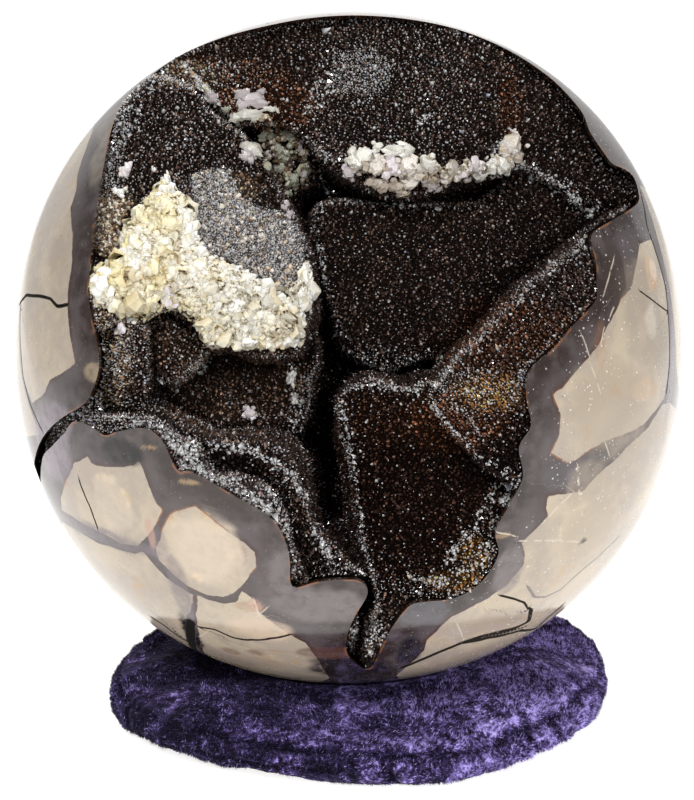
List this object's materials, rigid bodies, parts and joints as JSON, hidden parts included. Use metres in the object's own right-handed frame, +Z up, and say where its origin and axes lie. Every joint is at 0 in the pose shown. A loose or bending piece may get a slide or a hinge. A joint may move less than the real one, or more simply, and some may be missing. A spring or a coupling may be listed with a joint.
{
  "type": "septarian nodule",
  "caption": "Polished septarian stone ball with an open, crystal-lined hollow in its front and top, resting on a round velvet cushion.",
  "frame": {"origin": "the point of the cushion's flat underside that lies straight below the ball's centre", "axes": "+Z up, -Y the front that the hollow faces, +X to the right as seen from the front"},
  "size_m": [0.152, 0.148, 0.16],
  "materials": {
    "polished_stone": "polished limestone with grey-brown calcite veins",
    "dark_druse": "fine sparkling crystals",
    "velvet": "crushed indigo velvet"
  },
  "bodies": {
    "root": {"nodule": "polished_stone", "crystal_crust": "dark_druse", "cushion": "velvet"}
  },
  "joints": []
}
